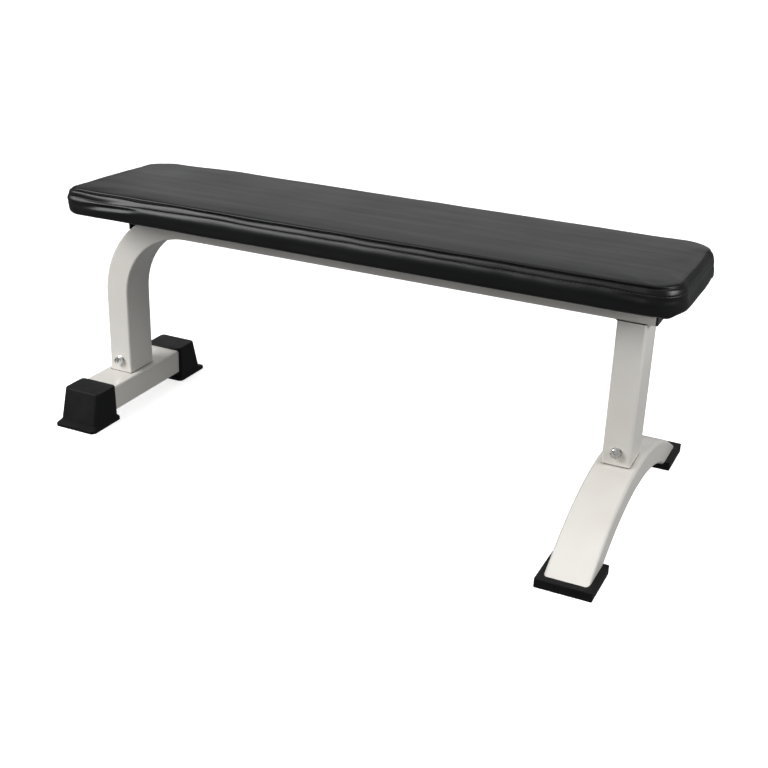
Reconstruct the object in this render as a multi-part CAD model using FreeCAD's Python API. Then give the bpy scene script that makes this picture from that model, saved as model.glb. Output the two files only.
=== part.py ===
# Flat weight bench with a padded top on a bent steel tube frame.
# Millimetres.  +Z is up and the floor is Z = 0.  X runs along the bench: the curved leg is at -X and the
# arched foot at +X.  The drawing itself measures X from the axis of the curved leg, and each piece is
# moved as it is saved, so that the origin ends up under the middle of the whole bench.
import FreeCAD, Part
import math
import os

Vector = FreeCAD.Vector
X = Vector(1, 0, 0)
Y = Vector(0, 1, 0)
Z = Vector(0, 0, 1)

# ---- driving dimensions ----
seat_frame_height = 416.0       # floor to the top of the rail, where the pad rests
upright_x = 1020.0              # curved leg's axis to the front upright's axis
rail_past_upright = 13.0        # how far the rail runs on past the upright's front face

tube_width = 75.0               # frame tube, across the bench
tube_depth = 50.0               # frame tube, in the plane of the bend
tube_wall = 2.0
tube_corner = 4.5               # outer corner radius of the tube
leg_bend_radius = 137.0         # inside of the bend between leg and rail

base_underside = 17.0           # floor to the underside of the rear base tube
base_length = 320.0             # rear base tube, across the bench

foot_depth = 45.0               # arched foot tube, top face to bottom face
foot_top_height = 107.5         # floor to the crest of the arch
foot_radius = 464.0             # top face of the arch
foot_slope = 30.0               # degrees, straight ends of the arch below the level
foot_corner = 6.5               # outer corner radius of the arched tube

joint_gap = 0.4                 # daylight where a leg stands on the tube below it

# sockets welded on the base tube and on the arch, one inside the foot of each leg
socket_length = 38.0            # along X
socket_height = 46.0
socket_plate = 3.0
socket_clearance = 0.4          # each side, inside the tube
bolt_height = 24.0              # bolt axis above the foot of each leg

# cross bolts, M10
bolt_radius = 5.0
bolt_hole_gap = 0.5             # radial, in the tube walls and socket ears
bolt_head_flats = 17.0
bolt_head_height = 6.4
bolt_nut_height = 9.5
bolt_thread_out = 3.0           # thread showing past the nut
washer_radius = 10.0
washer_height = 2.0
thread_gap = 0.05               # radial, between a thread and its nut

# rubber boots on the rear base tube
boot_base_x = 92.0
boot_base_rim = 5.0             # upright edge of the base flange
boot_flare = 5.0                # height of the slope from flange to body
boot_wall = 5.0                 # rubber above the tube and past its end
boot_side_foot = 5.0            # rubber beside the tube, low down
boot_side_top = 3.5             # rubber beside the tube, at the top
boot_grip = 52.0                # length of tube inside the boot
boot_end_lean = 16.0            # how far the end face leans in from foot to top
boot_flange_end = 13.0          # flange beyond the end face
boot_flange_inner = 4.0         # flange beyond the open face
boot_corner = 9.0
boot_top_round = 3.0
sleeve_gap = 0.1                # between a tube and the rubber or plastic around it
smallest_corner = 0.5
hexagon_chamfer = 30.0          # degrees, on the corners of heads and nuts

# rubber pads under the ends of the arched foot
foot_pad_height = 16.0
foot_pad_seat = 10.0            # floor to the face that the tube end stands on
foot_pad_side = 10.0            # rim on each side of the tube
foot_pad_toe = 3.5              # rim past the outer end
foot_pad_heel = 1.5             # rim at the inner end
foot_pad_corner = 2.0

# plastic plug in the open end of the rail
plug_flange = 3.5
plug_depth = 18.0
plug_wall = 2.5
plug_inner_corner = 1.0
plug_round = 1.4

# angle bracket on the outside of the bend, under the rear of the pad
bracket_x = 38.5                # rear face of its upright leg
bracket_length = 56.0
bracket_plate = 3.0

# pad
pad_length = 1134.0
pad_width = 284.0
pad_height = 50.0
pad_rear_x = -24.0              # rear end of the pad
pad_corner = 53.0               # plan radius
pad_top_round = 12.0
pad_bottom_round = 3.0
cover_thickness = 1.0
cover_return = 35.0             # width of cover turned in under the board
cloth_gap = 0.5                 # between the turned-in cover and the dust cloth
board_thickness = 15.0
board_inset = 7.0               # board's edge inside the pad's outline, with foam wrapped over it
board_edge_round = 2.0
soft_gap = 0.3                  # between foam and its neighbours

# pad bolts, M8, into tee nuts on top of the board
pad_bolt_radius = 4.0
pad_hole_gap = 0.5
pad_bolt_flats = 13.0
pad_bolt_head = 5.3
pad_washer_radius = 8.0
pad_washer_height = 1.6
tee_flange_radius = 11.0
tee_flange_height = 1.6
tee_barrel_radius = 5.0
tee_barrel_length = 9.0
bracket_bolt_x = 66.0
bracket_bolt_y = 20.0           # one each side of the centre line
rail_bolt_x = (420.0, 900.0)

# ---- places worked out from them ----
half_width = tube_width / 2
half_depth = tube_depth / 2
base_top = base_underside + tube_depth
leg_bottom = base_top + joint_gap
rail_bottom = seat_frame_height - tube_depth
rail_end = upright_x + half_depth + rail_past_upright
bend_centre = Vector(half_depth + leg_bend_radius, 0, rail_bottom - leg_bend_radius)
bend_outer_radius = leg_bend_radius + tube_depth
upright_bottom = foot_top_height + joint_gap
foot_angle = math.radians(foot_slope)
foot_centre = Vector(upright_x, 0, foot_top_height - foot_radius)
pad_middle_x = pad_rear_x + pad_length / 2
pad_bottom = seat_frame_height
board_bottom = pad_bottom + cover_thickness
board_top = board_bottom + board_thickness
fill_inset = cover_thickness + soft_gap
x_low = min(-boot_base_x / 2, pad_rear_x)
x_high = max(pad_rear_x + pad_length, upright_x + half_width + foot_pad_side)
to_origin = Vector(-(x_low + x_high) / 2, 0, 0)


# ---- helpers ----
def rounded_rectangle(length, width, radius, centre=Vector(0, 0, 0)):
    """Closed wire in the level plane through centre, length along X and width along Y."""
    a = length / 2
    b = width / 2
    r = max(min(radius, 0.98 * a, 0.98 * b), smallest_corner)
    k = r * (1 - math.sqrt(0.5))
    edges = []
    for sx, sy in ((1, 1), (-1, 1), (-1, -1), (1, -1)):
        first = Vector(sx * a, sy * (b - r), 0)
        second = Vector(sx * (a - r), sy * b, 0)
        start, end = (first, second) if sx * sy > 0 else (second, first)
        edges.append(Part.Arc(start, Vector(sx * (a - k), sy * (b - k), 0), end).toShape())
    loop = []
    for n, arc in enumerate(edges):
        following = edges[(n + 1) % 4]
        loop.append(arc)
        loop.append(Part.LineSegment(arc.Vertexes[-1].Point, following.Vertexes[0].Point).toShape())
    wire = Part.Wire(Part.__sortEdges__(loop))
    wire.translate(centre)
    return wire


def slab(length, width, radius, z_from, z_to, centre_x=0.0, centre_y=0.0):
    """Rounded rectangular block between two heights."""
    face = Part.Face(rounded_rectangle(length, width, radius, Vector(centre_x, centre_y, z_from)))
    return face.extrude(Z * (z_to - z_from))


def tube_section(length, width, wall, corner):
    """Hollow tube section as a level face at the origin."""
    outer = Part.Face(rounded_rectangle(length, width, corner))
    inner = rounded_rectangle(length - 2 * wall, width - 2 * wall, corner - wall)
    return outer.cut(Part.Face(inner)).Faces[0]


def moved(shape, x=0.0, y=0.0, z=0.0):
    copy = shape.copy()
    copy.translate(Vector(x, y, z))
    return copy


def mirrored(shape):
    """The same piece on the other side of the centre plane."""
    return shape.mirror(Vector(0, 0, 0), Y)


def rod(radius, start, direction, length):
    return Part.makeCylinder(radius, length, start, direction)


def hexagon(flats, height, start, direction):
    """Hexagonal prism from start along direction, with the corners of its far face chamfered off."""
    points = []
    for n in range(7):
        angle = math.radians(60 * n)
        points.append(Vector(math.cos(angle), math.sin(angle), 0) * (flats / math.sqrt(3)))
    prism = Part.Face(Part.makePolygon(points)).extrude(Z * height)
    spread = height / math.tan(math.radians(hexagon_chamfer))
    prism = prism.common(Part.makeCone(flats / 2 + spread, flats / 2, height))
    prism.Placement = FreeCAD.Placement(start, FreeCAD.Rotation(Z, direction))
    return prism


def round_edges(shape, edges, radius):
    return shape.makeFillet(radius, edges) if edges else shape


def level_edges(shape, height):
    """Edges that lie at one height."""
    found = []
    for edge in shape.Edges:
        box = edge.BoundBox
        if abs(box.ZMin - height) < 0.01 and abs(box.ZMax - height) < 0.01:
            found.append(edge)
    return found


# ---- frame ----
def bent_frame_tube():
    """Rear leg, bend and rail: one length of tube."""
    section = tube_section(tube_depth, tube_width, tube_wall, tube_corner)
    leg = moved(section, z=leg_bottom).extrude(Z * (bend_centre.z - leg_bottom))
    start = moved(section, z=bend_centre.z)
    bend = start.revolve(bend_centre, Y, 90)
    turned = start.copy()
    turned.rotate(bend_centre, Y, 90)
    rail = turned.extrude(X * (rail_end - bend_centre.x))
    tube = leg.fuse([bend, rail]).removeSplitter()
    return tube.cut(cross_hole(0.0, leg_bottom)).cut(pad_holes(rail_bolt_x, (0.0,), rail_bottom))


def cross_hole(x, foot_of_leg):
    """Hole for a cross bolt, right through the tube."""
    start = Vector(x, -tube_width, foot_of_leg + bolt_height)
    return rod(bolt_radius + bolt_hole_gap, start, Y, 2 * tube_width)


def pad_holes(places_x, places_y, z_from):
    """Upright holes for the pad bolts, from a height up to the tee nuts."""
    holes = []
    for x in places_x:
        for y in places_y:
            start = Vector(x, y, z_from - 1)
            holes.append(rod(pad_bolt_radius + pad_hole_gap, start, Z, board_top - z_from + 1))
    return Part.makeCompound(holes)


def upright():
    section = tube_section(tube_depth, tube_width, tube_wall, tube_corner)
    post = moved(section, x=upright_x, z=upright_bottom).extrude(Z * (rail_bottom - upright_bottom))
    return post.cut(cross_hole(upright_x, upright_bottom))


def base_tube():
    section = tube_section(tube_width, tube_depth, tube_wall, tube_corner)
    section.rotate(Vector(0, 0, 0), X, 90)
    middle = base_underside + half_depth
    return moved(section, y=base_length / 2, z=middle).extrude(Y * -base_length)


def foot_end_y(face_radius, height):
    """How far out a face of the arched tube is when it comes down to a height."""
    bend_end_z = foot_centre.z + face_radius * math.cos(foot_angle)
    if height > bend_end_z:
        return math.sqrt(face_radius ** 2 - (height - foot_centre.z) ** 2)
    bend_end_y = face_radius * math.sin(foot_angle)
    return bend_end_y + (bend_end_z - height) / math.tan(foot_angle)


def arched_foot(hollow=True):
    """Tube bent to an arch across the bench, its straight ends cut level where they stand."""
    if hollow:
        section = tube_section(tube_width, foot_depth, tube_wall, foot_corner)
    else:
        section = Part.Face(rounded_rectangle(tube_width, foot_depth, foot_corner))
    section.rotate(Vector(0, 0, 0), X, 90)
    section.translate(foot_centre + Z * (foot_radius - foot_depth / 2))
    section.rotate(foot_centre, X, -foot_slope)
    arch = section.revolve(foot_centre, X, 2 * foot_slope)
    right_end = section.extrude(Vector(0, math.cos(foot_angle), -math.sin(foot_angle)) * foot_radius)
    arch = arch.fuse([right_end, mirrored(right_end)]).removeSplitter()
    size = 4 * foot_radius
    room = Part.makeBox(size, size, size, Vector(upright_x - size / 2, -size / 2, foot_pad_seat))
    return arch.common(room)


def leg_socket(x, seat_z, foot_of_leg, seat_shape=None):
    """Channel standing inside a leg: a floor plate and two ears that the cross bolt goes through."""
    width = tube_width - 2 * (tube_wall + socket_clearance)
    outer = Part.makeBox(socket_length, width, socket_height)
    inner_width = width - 2 * socket_plate
    inner_corner = Vector(0, socket_plate, socket_plate)
    inner = Part.makeBox(socket_length, inner_width, socket_height, inner_corner)
    channel = moved(outer.cut(inner), x - socket_length / 2, -width / 2, foot_of_leg)
    foot = Part.makeBox(socket_length, width, foot_of_leg - seat_z)
    channel = channel.fuse(moved(foot, x - socket_length / 2, -width / 2, seat_z)).removeSplitter()
    if seat_shape:
        channel = channel.cut(seat_shape)
    return channel.cut(cross_hole(x, foot_of_leg))


def cross_bolt(x, foot_of_leg):
    """Bolt with its head at -Y."""
    height = foot_of_leg + bolt_height
    under_head = -half_width - washer_height
    length = tube_width + 2 * washer_height + bolt_nut_height + bolt_thread_out
    head = hexagon(bolt_head_flats, bolt_head_height, Vector(x, under_head, height), -Y)
    shank = rod(bolt_radius, Vector(x, under_head, height), Y, length)
    return head.fuse(shank).removeSplitter()


def cross_washers(x, foot_of_leg):
    height = foot_of_leg + bolt_height
    washers = []
    for y in (-half_width - washer_height, half_width):
        disc = rod(washer_radius, Vector(x, y, height), Y, washer_height)
        washers.append(disc.cut(cross_hole(x, foot_of_leg)))
    return Part.makeCompound(washers)


def cross_nut(x, foot_of_leg):
    start = Vector(x, half_width + washer_height, foot_of_leg + bolt_height)
    nut = hexagon(bolt_head_flats, bolt_nut_height, start, Y)
    return nut.cut(rod(bolt_radius + thread_gap, start, Y, bolt_nut_height))


# ---- rubber and plastic ----
def rear_boot():
    """Boot over the +Y end of the base tube: flange on the floor, leaning body, socket for the tube."""
    inner_y = base_length / 2 - boot_grip
    end_top = base_length / 2 + boot_wall
    end_foot = end_top + boot_end_lean
    body_foot = boot_base_rim + boot_flare
    top = base_top + boot_wall

    def outline(length, y_from, y_to, z):
        centre = Vector(0, (y_from + y_to) / 2, z)
        return rounded_rectangle(length, y_to - y_from, boot_corner, centre)

    flange = outline(boot_base_x, inner_y - boot_flange_inner, end_foot + boot_flange_end, 0)
    foot = outline(tube_width + 2 * boot_side_foot, inner_y, end_foot, body_foot)
    crown = outline(tube_width + 2 * boot_side_top, inner_y, end_top, top)
    rim = Part.Face(flange).extrude(Z * boot_base_rim)
    raised = flange.copy()
    raised.translate(Z * boot_base_rim)
    flare = Part.makeLoft([raised, foot], True, True)
    body = Part.makeLoft([foot, crown], True, True)
    body = round_edges(body, level_edges(body, top), boot_top_round)
    boot = rim.fuse([flare, body]).removeSplitter()
    grip = tube_end_room(tube_width + 2 * sleeve_gap, tube_depth + 2 * sleeve_gap, inner_y - boot_wall)
    return boot.cut(grip)


def tube_end_room(length, height, y_from):
    """The base tube's outline with clearance, from y_from to just past the tube's end."""
    face = Part.Face(rounded_rectangle(length, height, tube_corner))
    face.rotate(Vector(0, 0, 0), X, 90)
    y_to = base_length / 2 + sleeve_gap
    return moved(face, y=y_to, z=base_underside + half_depth).extrude(Y * (y_from - y_to))


def foot_pad():
    """Rubber pad under the +Y end of the arched foot, with a shallow seat for the cut tube."""
    y_from = foot_end_y(foot_radius - foot_depth, foot_pad_seat) - foot_pad_heel
    y_to = foot_end_y(foot_radius, foot_pad_seat) + foot_pad_toe
    length = tube_width + 2 * foot_pad_side
    middle_y = (y_from + y_to) / 2
    pad = slab(length, y_to - y_from, foot_pad_corner, 0, foot_pad_height, upright_x, middle_y)
    pad = round_edges(pad, level_edges(pad, foot_pad_height), foot_pad_corner / 2)
    return pad.cut(arched_foot(hollow=False))


def rail_plug():
    """Plug pushed into the front end of the rail, with a flange the size of the tube."""
    face = Part.Face(rounded_rectangle(tube_depth, tube_width, tube_corner))
    flange = face.extrude(Z * plug_flange)
    flange = round_edges(flange, level_edges(flange, plug_flange), plug_round)
    core_depth = tube_depth - 2 * (tube_wall + sleeve_gap)
    core_width = tube_width - 2 * (tube_wall + sleeve_gap)
    core = slab(core_depth, core_width, tube_corner - tube_wall, -plug_depth, 0)
    hollow_x = core_depth - 2 * plug_wall
    hollow_y = core_width - 2 * plug_wall
    hollow = slab(hollow_x, hollow_y, plug_inner_corner, -plug_depth, 0)
    plug = flange.fuse(core.cut(hollow)).removeSplitter()
    plug.rotate(Vector(0, 0, 0), Y, 90)
    return moved(plug, x=rail_end, z=rail_bottom + half_depth)


# ---- pad and its fixings ----
def pad_bracket():
    """Angle welded on the outside of the bend: its level leg carries the rear of the pad."""
    drop = bend_outer_radius / 2
    level = Part.makeBox(bracket_length, tube_width, bracket_plate)
    level = moved(level, bracket_x, -half_width, pad_bottom - bracket_plate)
    standing = Part.makeBox(bracket_plate, tube_width, drop)
    standing = moved(standing, bracket_x, -half_width, pad_bottom - drop)
    bend = rod(bend_outer_radius, bend_centre - Y * tube_width, Y, 2 * tube_width)
    angle = level.fuse(standing).removeSplitter().cut(bend)
    sides = (-bracket_bolt_y, bracket_bolt_y)
    return angle.cut(pad_holes((bracket_bolt_x,), sides, pad_bottom - bracket_plate))


def pad_bolt_places():
    """Every pad bolt as (x, y, height of the face its washer bears on)."""
    under_bracket = pad_bottom - bracket_plate
    places = [(bracket_bolt_x, side * bracket_bolt_y, under_bracket) for side in (-1, 1)]
    return places + [(x, 0.0, rail_bottom) for x in rail_bolt_x]


def pad_bolt(x, y, bearing_z):
    under_head = bearing_z - pad_washer_height
    head = hexagon(pad_bolt_flats, pad_bolt_head, Vector(x, y, under_head), -Z)
    shank = rod(pad_bolt_radius, Vector(x, y, under_head), Z, board_top - under_head)
    return head.fuse(shank).removeSplitter()


def pad_washer(x, y, bearing_z):
    disc = rod(pad_washer_radius, Vector(x, y, bearing_z - pad_washer_height), Z, pad_washer_height)
    return disc.cut(pad_holes((x,), (y,), bearing_z - pad_washer_height))


def tee_nut(x, y):
    flange = rod(tee_flange_radius, Vector(x, y, board_top), Z, tee_flange_height)
    barrel = rod(tee_barrel_radius, Vector(x, y, board_top - tee_barrel_length), Z, tee_barrel_length)
    bore = rod(pad_bolt_radius + thread_gap, Vector(x, y, board_bottom), Z, board_thickness + pad_height)
    return flange.fuse(barrel).removeSplitter().cut(bore)


def board():
    plate = board_blank(0.0)
    for x, y, bearing_z in pad_bolt_places():
        underside = Vector(x, y, board_bottom)
        plate = plate.cut(rod(pad_bolt_radius + pad_hole_gap, underside, Z, board_thickness))
        start = Vector(x, y, board_top - tee_barrel_length)
        plate = plate.cut(rod(tee_barrel_radius, start, Z, tee_barrel_length))
    return plate


def board_blank(gap):
    """The board without its holes, and thicker and wider by a gap on its top and sides."""
    inset = board_inset - gap
    length = pad_length - 2 * inset
    width = pad_width - 2 * inset
    plate = slab(length, width, pad_corner - inset, board_bottom, board_top + gap, pad_middle_x)
    return round_edges(plate, level_edges(plate, board_bottom), board_edge_round)


def foam():
    """Foam over the board and down past its edges."""
    length = pad_length - 2 * fill_inset
    width = pad_width - 2 * fill_inset
    low = board_bottom + soft_gap
    high = pad_bottom + pad_height - fill_inset
    block = slab(length, width, pad_corner - fill_inset, low, high, pad_middle_x)
    block = round_edges(block, level_edges(block, high), pad_top_round - fill_inset)
    block = round_edges(block, level_edges(block, low), pad_bottom_round - cover_thickness)
    block = block.cut(board_blank(soft_gap))
    for x, y, bearing_z in pad_bolt_places():
        start = Vector(x, y, board_top)
        block = block.cut(rod(tee_flange_radius + soft_gap, start, Z, tee_flange_height + soft_gap))
    return block


def cover():
    """Upholstery skin: over the top, down the sides and turned in under the board."""
    def envelope(inset):
        radius = pad_corner - inset
        low = pad_bottom + inset
        high = pad_bottom + pad_height - inset
        block = slab(pad_length - 2 * inset, pad_width - 2 * inset, radius, low, high, pad_middle_x)
        block = round_edges(block, level_edges(block, high), pad_top_round - inset)
        return round_edges(block, level_edges(block, low), pad_bottom_round - inset)

    skin = envelope(0).cut(envelope(cover_thickness))
    return skin.cut(underside_panel(cover_return))


def underside_panel(inset):
    """Level panel in the plane of the turned-in cover, set in from the pad's outline."""
    length = pad_length - 2 * inset
    width = pad_width - 2 * inset
    return slab(length, width, pad_corner - inset, pad_bottom, board_bottom, pad_middle_x)


def dust_cloth():
    cloth = underside_panel(cover_return + cloth_gap)
    for x, y, bearing_z in pad_bolt_places():
        start = Vector(x, y, pad_bottom)
        cloth = cloth.cut(rod(pad_bolt_radius + pad_hole_gap, start, Z, cover_thickness))
    return cloth


# ---- every piece under its name ----
def pieces():
    yield "main_frame_tube", bent_frame_tube()
    yield "front_upright", upright()
    yield "rear_base_tube", base_tube()
    yield "front_foot_tube", arched_foot()
    arch = arched_foot(hollow=False)
    yield "rear_leg_socket", leg_socket(0.0, base_top, leg_bottom)
    arch_middle = foot_top_height - foot_depth / 2
    yield "front_upright_socket", leg_socket(upright_x, arch_middle, upright_bottom, arch)
    legs = (("rear_leg", 0.0, leg_bottom), ("front_upright", upright_x, upright_bottom))
    for name, x, foot_of_leg in legs:
        yield name + "_bolt", cross_bolt(x, foot_of_leg)
        yield name + "_washers", cross_washers(x, foot_of_leg)
        yield name + "_nut", cross_nut(x, foot_of_leg)
    boot = rear_boot()
    yield "rear_boot_left", boot
    yield "rear_boot_right", mirrored(boot)
    pad_under_foot = foot_pad()
    yield "front_foot_pad_left", pad_under_foot
    yield "front_foot_pad_right", mirrored(pad_under_foot)
    yield "rail_end_plug", rail_plug()
    yield "rear_pad_bracket", pad_bracket()
    places = pad_bolt_places()
    yield "bracket_pad_bolts", Part.makeCompound([pad_bolt(*place) for place in places[:2]])
    yield "rail_pad_bolts", Part.makeCompound([pad_bolt(*place) for place in places[2:]])
    yield "pad_bolt_washers", Part.makeCompound([pad_washer(*place) for place in places])
    yield "pad_tee_nuts", Part.makeCompound([tee_nut(x, y) for x, y, bearing_z in places])
    yield "pad_board", board()
    yield "pad_foam", foam()
    yield "pad_cover", cover()
    yield "pad_dust_cloth", dust_cloth()


os.makedirs("parts", exist_ok=True)
for name, shape in pieces():
    placed = shape.copy()
    placed.translate(to_origin)
    placed.exportStep(f"parts/{name}.step")
    litres = placed.Volume / 1e6
    print(f"{name:24s} {len(placed.Solids)} solid(s)  {litres:8.5f} litres  valid {placed.isValid()}")
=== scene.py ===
# %% [markdown]
# A flat weight bench: an upholstered pad on a bent steel tube frame, with rubber boots on its
# rear base and rubber pads under its arched front foot. The steel, rubber and plastic pieces
# come from the engineering model and only need finishes. The upholstery, its thread, the cloth
# under it and the staples are made here, because a solid model can't show how they sag and pull.

# %% Load the frame
import bmesh
import bpy
import math
from mathutils import Matrix, Vector, kdtree, noise


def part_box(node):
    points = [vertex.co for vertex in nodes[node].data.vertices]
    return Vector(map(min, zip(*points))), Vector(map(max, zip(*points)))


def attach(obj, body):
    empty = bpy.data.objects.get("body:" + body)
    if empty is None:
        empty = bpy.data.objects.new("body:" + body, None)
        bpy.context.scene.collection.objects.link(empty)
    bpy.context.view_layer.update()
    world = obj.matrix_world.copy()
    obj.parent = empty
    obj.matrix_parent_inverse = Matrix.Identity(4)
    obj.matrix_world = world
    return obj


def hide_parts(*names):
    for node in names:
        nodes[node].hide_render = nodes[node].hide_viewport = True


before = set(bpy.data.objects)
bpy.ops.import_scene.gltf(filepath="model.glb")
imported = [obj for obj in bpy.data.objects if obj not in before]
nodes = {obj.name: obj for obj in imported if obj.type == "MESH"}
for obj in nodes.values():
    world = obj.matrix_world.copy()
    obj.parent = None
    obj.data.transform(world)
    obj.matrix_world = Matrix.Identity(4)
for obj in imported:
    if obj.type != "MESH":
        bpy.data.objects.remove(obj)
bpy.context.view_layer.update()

# %% [markdown]
# Every size below is in millimetres, as a workshop drawing has it, and Blender works in metres.
# Colours are written as sRGB hex, the way that a paint chart gives them, and the shader wants
# linear light, so one function turns them. One more function adds a shader node, with its
# settings and what feeds its inputs, which keeps each material readable as a short recipe.

# %% Units, colours and the node helper
def mm(length):
    return length / 1000.0


def linear(code):
    """An sRGB hex colour as linear RGBA."""
    values = [int(code[i:i + 2], 16) / 255.0 for i in (1, 3, 5)]
    return [v / 12.92 if v <= 0.04045 else ((v + 0.055) / 1.055) ** 2.4 for v in values] + [1.0]


def add(tree, kind, settings=None, inputs=None):
    """Adds a node. Settings are its own properties, and each input takes a value or a socket."""
    made = tree.nodes.new(kind)
    for name, value in (settings or {}).items():
        setattr(made, name, value)
    for name, value in (inputs or {}).items():
        if isinstance(value, bpy.types.NodeSocket):
            tree.links.new(value, made.inputs[name])
        else:
            made.inputs[name].default_value = value
    return made


def per_metre(size_mm):
    """The scale that makes a noise pattern's grain about this many millimetres."""
    return 1000.0 / size_mm


print("1 mm is", mm(1), "m and mid grey is", [round(v, 3) for v in linear("#808080")[:3]])

# %% [markdown]
# The view is a plain three-quarter one from the front left and a little above, as a catalogue
# shows a bench. The camera is placed by its distance and two angles, and its matrix is built
# from the three directions that those angles give, so there is no tracking constraint to follow.

# %% Camera
camera_data = bpy.data.cameras.new("camera")
camera_data.sensor_width = 36.0
camera_data.lens = 57.9
camera = bpy.data.objects.new("camera", camera_data)
bpy.context.scene.collection.objects.link(camera)

turn = math.radians(24.72)
tilt = math.radians(23.57)
lean = math.radians(1.93)
forward = Vector((-math.sin(turn) * math.cos(tilt), math.cos(turn) * math.cos(tilt), -math.sin(tilt)))
level = Vector((math.cos(turn), math.sin(turn), 0.0))
upward = level.cross(forward)
side = level * math.cos(lean) + upward * math.sin(lean)
top = upward * math.cos(lean) - level * math.sin(lean)
pose = Matrix((side, top, -forward)).transposed().to_4x4()
pose.translation = Vector((0.9091, -1.8969, 1.0577))
camera.matrix_world = pose
bpy.context.scene.camera = camera
print("camera looks along", [round(v, 3) for v in forward])

# %% [markdown]
# The floor is one large white acrylic sheet that fills the view, lit a little from below, as a
# packshot table is.

# %% Floor
def mesh_object(name, points, faces, smooth=True):
    mesh = bpy.data.meshes.new(name)
    mesh.from_pydata(points, [], faces)
    mesh.update()
    if smooth:
        mesh.polygons.foreach_set("use_smooth", [True] * len(mesh.polygons))
    made = bpy.data.objects.new(name, mesh)
    bpy.context.scene.collection.objects.link(made)
    return made


reach = 40.0
corners = [(-reach, -reach, 0), (reach, -reach, 0), (reach, reach, 0), (-reach, reach, 0)]
floor = mesh_object("studio_floor", corners, [(0, 1, 2, 3)], smooth=False)
acrylic = bpy.data.materials.new("white_acrylic_sheet")
acrylic.use_nodes = True
sheet_shader = acrylic.node_tree.nodes["Principled BSDF"]
sheet_shader.inputs["Base Color"].default_value = linear("#EEEEED")
sheet_shader.inputs["Roughness"].default_value = 0.9
sheet_shader.inputs["Specular IOR Level"].default_value = 0.1
sheet_shader.inputs["Emission Color"].default_value = linear("#FFFFFF")
sheet_shader.inputs["Emission Strength"].default_value = 0.72
floor.data.materials.append(acrylic)
# The glow stays in the floor. It lights nothing and mirrors in nothing.
floor.visible_diffuse = False
floor.visible_glossy = False
print("floor", 2 * reach, "m square")

# %% [markdown]
# A low view from the side or from behind looks past the floor's far edge. A white dome far
# outside stands for the room there, so the background is the same pale one all round. Like the
# floor, it lights and mirrors in nothing, and it casts no shadow.

# %% Dome
shell = bmesh.new()
bmesh.ops.create_uvsphere(shell, u_segments=48, v_segments=24, radius=0.95 * reach)
dome_mesh = bpy.data.meshes.new("studio_dome")
shell.to_mesh(dome_mesh)
shell.free()
dome = bpy.data.objects.new("studio_dome", dome_mesh)
bpy.context.scene.collection.objects.link(dome)
white_wall = bpy.data.materials.new("studio_wall")
white_wall.use_nodes = True
wall_shader = white_wall.node_tree.nodes["Principled BSDF"]
wall_shader.inputs["Base Color"].default_value = linear("#000000")
wall_shader.inputs["Specular IOR Level"].default_value = 0.0
wall_shader.inputs["Emission Color"].default_value = linear("#FFFFFF")
wall_shader.inputs["Emission Strength"].default_value = 1.0
dome.data.materials.append(white_wall)
dome.visible_diffuse = False
dome.visible_glossy = False
dome.visible_shadow = False
print("dome", round(dome.dimensions.x), "m across")

# %% [markdown]
# The main light is a soft panel at the front left. A broad weak one overhead fills the tops, a
# wide panel behind gives the vinyl something pale to mirror, and a small one stands at the
# right, near the arched foot. The world adds an even fill from all round.

# %% Lights
def soft_panel(name, place, aim, size, power):
    data = bpy.data.lights.new(name, "AREA")
    data.shape = "RECTANGLE"
    data.size, data.size_y = size
    data.energy = power
    made = bpy.data.objects.new(name, data)
    made.matrix_world = (Vector(aim) - Vector(place)).to_track_quat("-Z", "Y").to_matrix().to_4x4()
    made.location = place
    bpy.context.scene.collection.objects.link(made)
    return made


def broad_light(name, direction, softness, strength):
    """An even light from far away, softened by its angle in degrees."""
    data = bpy.data.lights.new(name, "SUN")
    data.angle = math.radians(softness)
    data.energy = strength
    made = bpy.data.objects.new(name, data)
    made.matrix_world = Vector(direction).to_track_quat("-Z", "Y").to_matrix().to_4x4()
    bpy.context.scene.collection.objects.link(made)
    return made


broad_light("overhead_light", (0.12, -0.1, -1.0), 50.0, 0.5)
soft_panel("front_left_panel", (-2.1, -2.2, 2.1), (-0.3, 0.0, 0.25), (2.3, 1.9), 122.0)
soft_panel("back_panel", (-1.4, 4.2, 2.9), (0.0, 0.0, 0.4), (5.0, 4.4), 30.0)
soft_panel("right_panel", (1.9, -0.35, 1.15), (0.5, 0.0, 0.35), (0.8, 0.6), 21.0)

world = bpy.data.worlds.new("studio_surround")
bpy.context.scene.world = world
world.use_nodes = True
world.node_tree.nodes["Background"].inputs["Color"].default_value = linear("#F4F6F8")
world.node_tree.nodes["Background"].inputs["Strength"].default_value = 0.22
bpy.context.scene.view_settings.view_transform = "Standard"

# %% [markdown]
# Every finish shares the same skeleton: a Principled shader that takes a colour, a roughness and
# a bump. Only the patterns that feed them differ, so this one function starts a material and the
# cells after it draw each pattern. Object coordinates place the patterns, and since all pieces
# sit at the origin, one millimetre of pattern is one millimetre of bench.

# %% Start of a material
def finish(name, **shader_values):
    """A new material, its shader and its coordinates. Values go on the shader's own sockets."""
    material = bpy.data.materials.new(name)
    material.use_nodes = True
    tree = material.node_tree
    shader = tree.nodes["Principled BSDF"]
    for socket, value in shader_values.items():
        shader.inputs[socket.replace("_", " ")].default_value = value
    place = add(tree, "ShaderNodeTexCoord").outputs["Object"]
    return material, tree, shader, place


def blend_colours(tree, factor, dark, light, low=0.3, high=0.7):
    """A colour between two hex values, as a pattern goes from low to high."""
    ramp = add(tree, "ShaderNodeValToRGB", inputs={"Fac": factor})
    ramp.color_ramp.elements[0].position = low
    ramp.color_ramp.elements[0].color = linear(dark)
    ramp.color_ramp.elements[1].position = high
    ramp.color_ramp.elements[1].color = linear(light)
    return ramp.outputs["Color"]


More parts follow.
